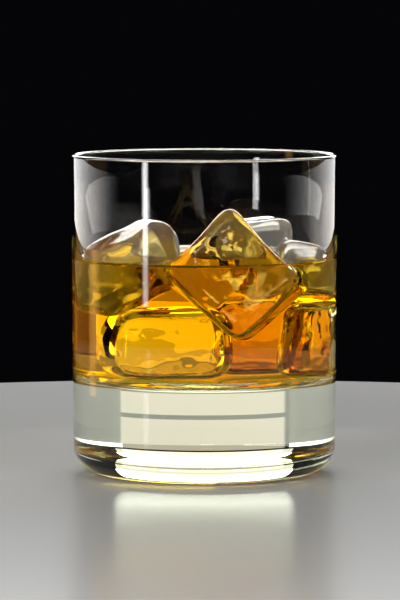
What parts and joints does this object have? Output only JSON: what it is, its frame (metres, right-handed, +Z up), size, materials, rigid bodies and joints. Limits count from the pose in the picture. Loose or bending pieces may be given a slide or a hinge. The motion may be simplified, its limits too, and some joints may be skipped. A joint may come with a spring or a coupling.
{
  "type": "glass of whisky",
  "caption": "Straight-sided heavy-based glass tumbler holding amber whisky with clear ice cubes that break its surface.",
  "frame": {"origin": "on the surface the glass stands on, under the middle of its base", "axes": "+Z up along the glass's axis, -Y towards the side the picture shows, +X to that view's right"},
  "size_m": [0.082, 0.082, 0.098],
  "materials": {
    "glass": "clear polished tumbler glass",
    "whisky": "clear amber liquid",
    "ice": "clear wet ice with softly melted edges"
  },
  "bodies": {
    "root": {"glass": "glass", "whisky": "whisky", "ice_front": "ice", "ice_left": "ice", "ice_left_back": "ice", "ice_right_back": "ice", "ice_right": "ice"}
  },
  "joints": []
}
